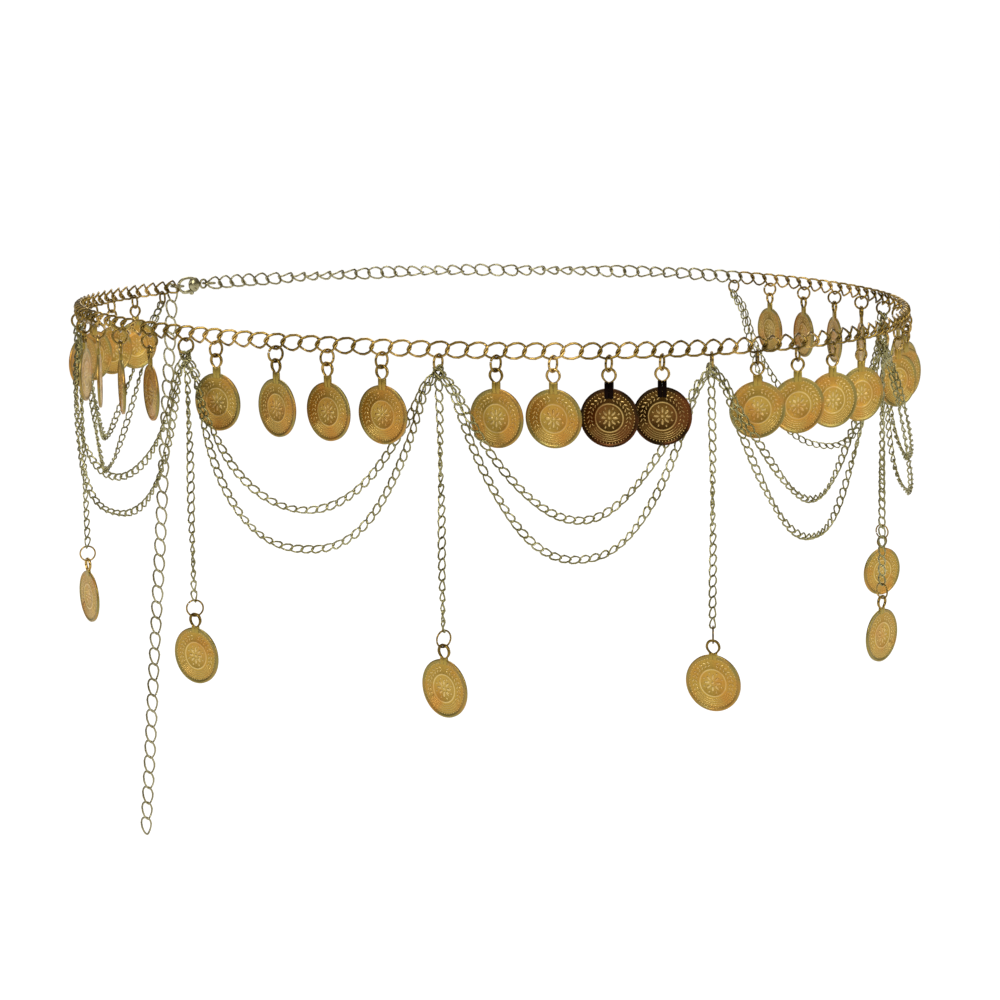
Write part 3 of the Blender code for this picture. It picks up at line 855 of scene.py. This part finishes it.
# %% [markdown]
# ## Extension chain
# A length of the same sort of chain hangs free from the ring that the clasp hooks. The wearer
# hooks the clasp further down it for a wider waist. It hangs with a slight lean, with its flat
# side to the front. The twist in each link makes its upper end look wide and its lower narrow.

# %% Extension chain and its ring
TAIL_LINKS = 35
TAIL_LEAN = radians(4.7)
HOOK_RING_AT = -8.175 * MM
TAIL_ROLL, TAIL_SWING = radians(-16), radians(9)
TAIL_SWING_LINKS = 13


def on_chord(first, last):
    """A frame midway between two places on the belt, with X from one to the other."""
    one, two = on_loop(first), on_loop(last)
    ahead = (two - one).normalized()
    rise = Matrix.Rotation(-asin(ahead.z), 4, "Y")
    return hang((one + two) / 2, atan2(ahead.y, ahead.x)) @ rise


def level_ring_place(arc, slit_at):
    return on_chord(arc - RING_RADIUS, arc + RING_RADIUS) @ Matrix.Rotation(slit_at, 4, "Z")


place, _, outward = frame_at(HOOK_RING_AT)
top = place + outward * RING_RADIUS
down = Vector((-sin(TAIL_LEAN), 0.0, -cos(TAIL_LEAN)))
tail = bmesh.new()
add_copy(tail, BELT_RING, level_ring_place(HOOK_RING_AT, radians(130)))
for number in range(TAIL_LINKS):
    middle = top + down * (TAIL_PITCH / 2 - RING_WIRE / 2 + number * TAIL_PITCH)
    roll = TAIL_ROLL + TAIL_SWING * sin(2 * pi * number / TAIL_SWING_LINKS)
    add_copy(tail, TAIL_LINK, link_place(middle, down, FRONT, roll))
finish_piece("extension_chain", tail, [PALE_GOLD], "chain", "tail_chain")
print("extension chain", round(TAIL_LINKS * TAIL_PITCH / MM), "mm")

# %% [markdown]
# ## Lobster clasp
# A lobster clasp is a cast body that curls round into a hook. A small lever, held shut by a
# spring inside, closes the mouth, and an eye at the back takes the chain's ring. The hook is
# part of an oval ring of wire, thicker towards the body. The body is a long dome, and the
# lever, its thumb piece, the pin and the eye are added to it.

# %% Clasp and its ring
CLASP_LENGTH = 14.88 * MM
CLASP_START = -8.35 * MM
CLASP_RING_AT = -23.98 * MM
CLASP_HEIGHT = 6.4 * MM
HOOK_WIRE = 1.05 * MM
EYE_RADIUS = 1.6 * MM
EYE_WIRE = 0.8 * MM
HOOK_LENGTH = 9.4 * MM
CLASP_BODY = {"ahead": -3.0 * MM, "level": 0.0, "lean": 0.0,
              "size": (5.4 * MM, 2.3 * MM, 5.6 * MM)}
CLASP_LEVER = {"ahead": 0.4 * MM, "level": -2.45 * MM, "lean": radians(4),
               "size": (5.6 * MM, 1.7 * MM, 1.5 * MM)}
THUMB_PIECE = {"ahead": -1.7 * MM, "level": -3.05 * MM, "lean": 0.0,
               "size": (1.9 * MM, 1.5 * MM, 1.3 * MM)}
PIN_RADIUS, PIN_LENGTH = 0.5 * MM, 2.5 * MM
PIN_BEHIND, PIN_BELOW = 2.6 * MM, 1.5 * MM


def add_clasp_dome(shape, middle, size, lean):
    place = Matrix.Translation(middle) @ Matrix.Rotation(lean, 4, "Y")
    dome = bmesh.new()
    scale = Matrix.Diagonal((size[0] / 2, size[1] / 2, size[2] / 2, 1.0))
    bmesh.ops.create_uvsphere(dome, u_segments=20, v_segments=12, radius=1.0, matrix=scale)
    mesh = bpy.data.meshes.new("clasp_dome")
    dome.to_mesh(mesh)
    dome.free()
    add_copy(shape, mesh, place)


clasp = bmesh.new()
clasp_end = CLASP_LENGTH / 2
upright = Matrix.Rotation(pi / 2, 4, "X")
deeper = Matrix.Diagonal((1, 1.25, 1, 1))
hook = oval_link("hook", HOOK_LENGTH, CLASP_HEIGHT - HOOK_WIRE, HOOK_WIRE, 32, 8, fullness=2.2)
hook_middle = clasp_end - HOOK_WIRE / 2 - HOOK_LENGTH / 2
add_copy(clasp, hook, Matrix.Translation((hook_middle, 0, 0)) @ deeper @ upright)
for dome in (CLASP_BODY, CLASP_LEVER, THUMB_PIECE):
    middle = (hook_middle + dome["ahead"], 0, dome["level"])
    add_clasp_dome(clasp, middle, dome["size"], dome["lean"])
pin = bmesh.new()
bmesh.ops.create_cone(pin, cap_ends=True, segments=12, radius1=PIN_RADIUS, radius2=PIN_RADIUS,
                      depth=PIN_LENGTH, matrix=upright)
pin_mesh = bpy.data.meshes.new("pin")
pin.to_mesh(pin_mesh)
pin.free()
add_copy(clasp, pin_mesh, Matrix.Translation((hook_middle - PIN_BEHIND, 0, -PIN_BELOW)))
eye_middle = -clasp_end + EYE_RADIUS + EYE_WIRE / 2
eye_ring = oval_link("clasp_eye", 2 * EYE_RADIUS, 2 * EYE_RADIUS, EYE_WIRE, 20, 8, fullness=2.0)
add_copy(clasp, eye_ring, Matrix.Translation((eye_middle, 0, 0)) @ upright)
clasp_place = on_chord(CLASP_START - CLASP_LENGTH, CLASP_START)
bmesh.ops.transform(clasp, matrix=clasp_place, verts=clasp.verts[:])
print("faces in the clasp", len(clasp.faces))
finish_piece("lobster_clasp", clasp, [PALE_GOLD], "chain", "clasp")

ring = bmesh.new()
add_copy(ring, BELT_RING, level_ring_place(CLASP_RING_AT, radians(40)))
finish_piece("clasp_jump_ring", ring, [PALE_GOLD], "chain", "clasp_ring")

# %% [markdown]
# ## Camera, floor and light
# The photo was taken with a long lens a little above the belt and slightly to the left. The
# camera's place, lens and shift were fitted to the tassels' places in it. The chain hangs as
# on a waist, so the pale floor is well below. The background is white, and the metal sees a
# dimmer room than the camera does, as in a studio with white paper behind the object: that is
# what gives gold its dark edges. The floor is a lit paper, even and white right to the horizon.

# %% Camera at the photo's place
CAMERA_TURN = radians(7.473)
CAMERA_RISE = radians(6.582)
CAMERA_AWAY = 687.654 * MM
CAMERA_ROLL = radians(-0.95)
camera_data = bpy.data.cameras.new("camera")
camera_data.sensor_width = 36.0
camera_data.lens = 72.89
camera_data.shift_x = 0.0039
camera_data.shift_y = -0.1961
camera_data.clip_start = 0.01
camera_data.clip_end = 60.0
camera = bpy.data.objects.new("camera", camera_data)
bpy.context.scene.collection.objects.link(camera)
level = cos(CAMERA_RISE)
back_from = Vector((-sin(CAMERA_TURN) * level, -cos(CAMERA_TURN) * level, sin(CAMERA_RISE)))
aim = (-back_from).to_track_quat("-Z", "Y").to_matrix().to_4x4()
rolled = Matrix.Rotation(CAMERA_ROLL, 4, "Z")
camera.matrix_world = Matrix.Translation(back_from * CAMERA_AWAY) @ aim @ rolled
bpy.context.scene.camera = camera
print("camera lens", round(camera_data.lens, 1), "mm at", round(CAMERA_AWAY / MM), "mm")

# %% Floor, room and lamps
FLOOR_LEVEL = -0.42
FLOOR_SIZE = 24.0
ROOM_SHADES = ((0.0, "#FFFFFF"), (0.42, "#A8A49E"), (0.5, "#6E6A64"), (0.62, "#8A857E"),
               (1.0, "#D0CECA"))


def add_floor():
    shape = bmesh.new()
    bmesh.ops.create_grid(shape, x_segments=1, y_segments=1, size=FLOOR_SIZE / 2,
                          matrix=Matrix.Translation((0, 0, FLOOR_LEVEL)))
    mesh = bpy.data.meshes.new("floor")
    shape.to_mesh(mesh)
    shape.free()
    material = bpy.data.materials.new("white_paper")
    material.use_nodes = True
    shader = material.node_tree.nodes["Principled BSDF"]
    shader.inputs["Base Color"].default_value = linear("#7C7B79")
    shader.inputs["Roughness"].default_value = 0.9
    shader.inputs["Emission Color"].default_value = linear("#FFFFFF")
    shader.inputs["Emission Strength"].default_value = 0.92
    mesh.materials.append(material)
    floor = bpy.data.objects.new("floor", mesh)
    bpy.context.scene.collection.objects.link(floor)


def light_room():
    """White for the camera, and a softer room with a bright ceiling for the metal."""
    world = bpy.data.worlds.new("studio")
    bpy.context.scene.world = world
    world.use_nodes = True
    tree = world.node_tree
    output = tree.nodes["World Output"]
    paper = tree.nodes["Background"]
    paper.inputs["Color"].default_value = (1.0, 1.0, 1.0, 1.0)
    paper.inputs["Strength"].default_value = 1.1
    room = add_node(world, "ShaderNodeBackground", {"Strength": 1.0})
    direction = add_node(world, "ShaderNodeTexCoord").outputs["Generated"]
    height = add_node(world, "ShaderNodeSeparateXYZ", links=[("Vector", direction)]).outputs["Z"]
    share = add_node(world, "ShaderNodeMapRange", {"From Min": -1.0, "From Max": 1.0},
                     [("Value", height)])
    ramp = add_node(world, "ShaderNodeValToRGB", links=[("Fac", share.outputs["Result"])])
    set_ramp(ramp, ROOM_SHADES)
    tree.links.new(ramp.outputs["Color"], room.inputs["Color"])
    seen = add_node(world, "ShaderNodeLightPath").outputs["Is Camera Ray"]
    mix = add_node(world, "ShaderNodeMixShader", links=[("Fac", seen)])
    tree.links.new(room.outputs["Background"], mix.inputs[1])
    tree.links.new(paper.outputs["Background"], mix.inputs[2])
    tree.links.new(mix.outputs["Shader"], output.inputs["Surface"])


def add_lamp(name, place, size, power):
    """A soft square lamp aimed at the middle of the chain."""
    data = bpy.data.lights.new(name, "AREA")
    data.size = size
    data.energy = power
    lamp = bpy.data.objects.new(name, data)
    bpy.context.scene.collection.objects.link(lamp)
    aim_at = Vector((0, 0, -0.05)) - Vector(place)
    turned = aim_at.to_track_quat("-Z", "Y").to_matrix().to_4x4()
    lamp.matrix_world = Matrix.Translation(place) @ turned


add_floor()
light_room()
add_lamp("key_softbox", (-1.1, -1.3, 1.2), 0.9, 22)
add_lamp("fill_softbox", (1.4, -1.0, 0.7), 0.9, 12)
add_lamp("back_softbox", (0.2, 1.6, 1.3), 1.2, 16)
bpy.context.scene.view_settings.view_transform = "Standard"
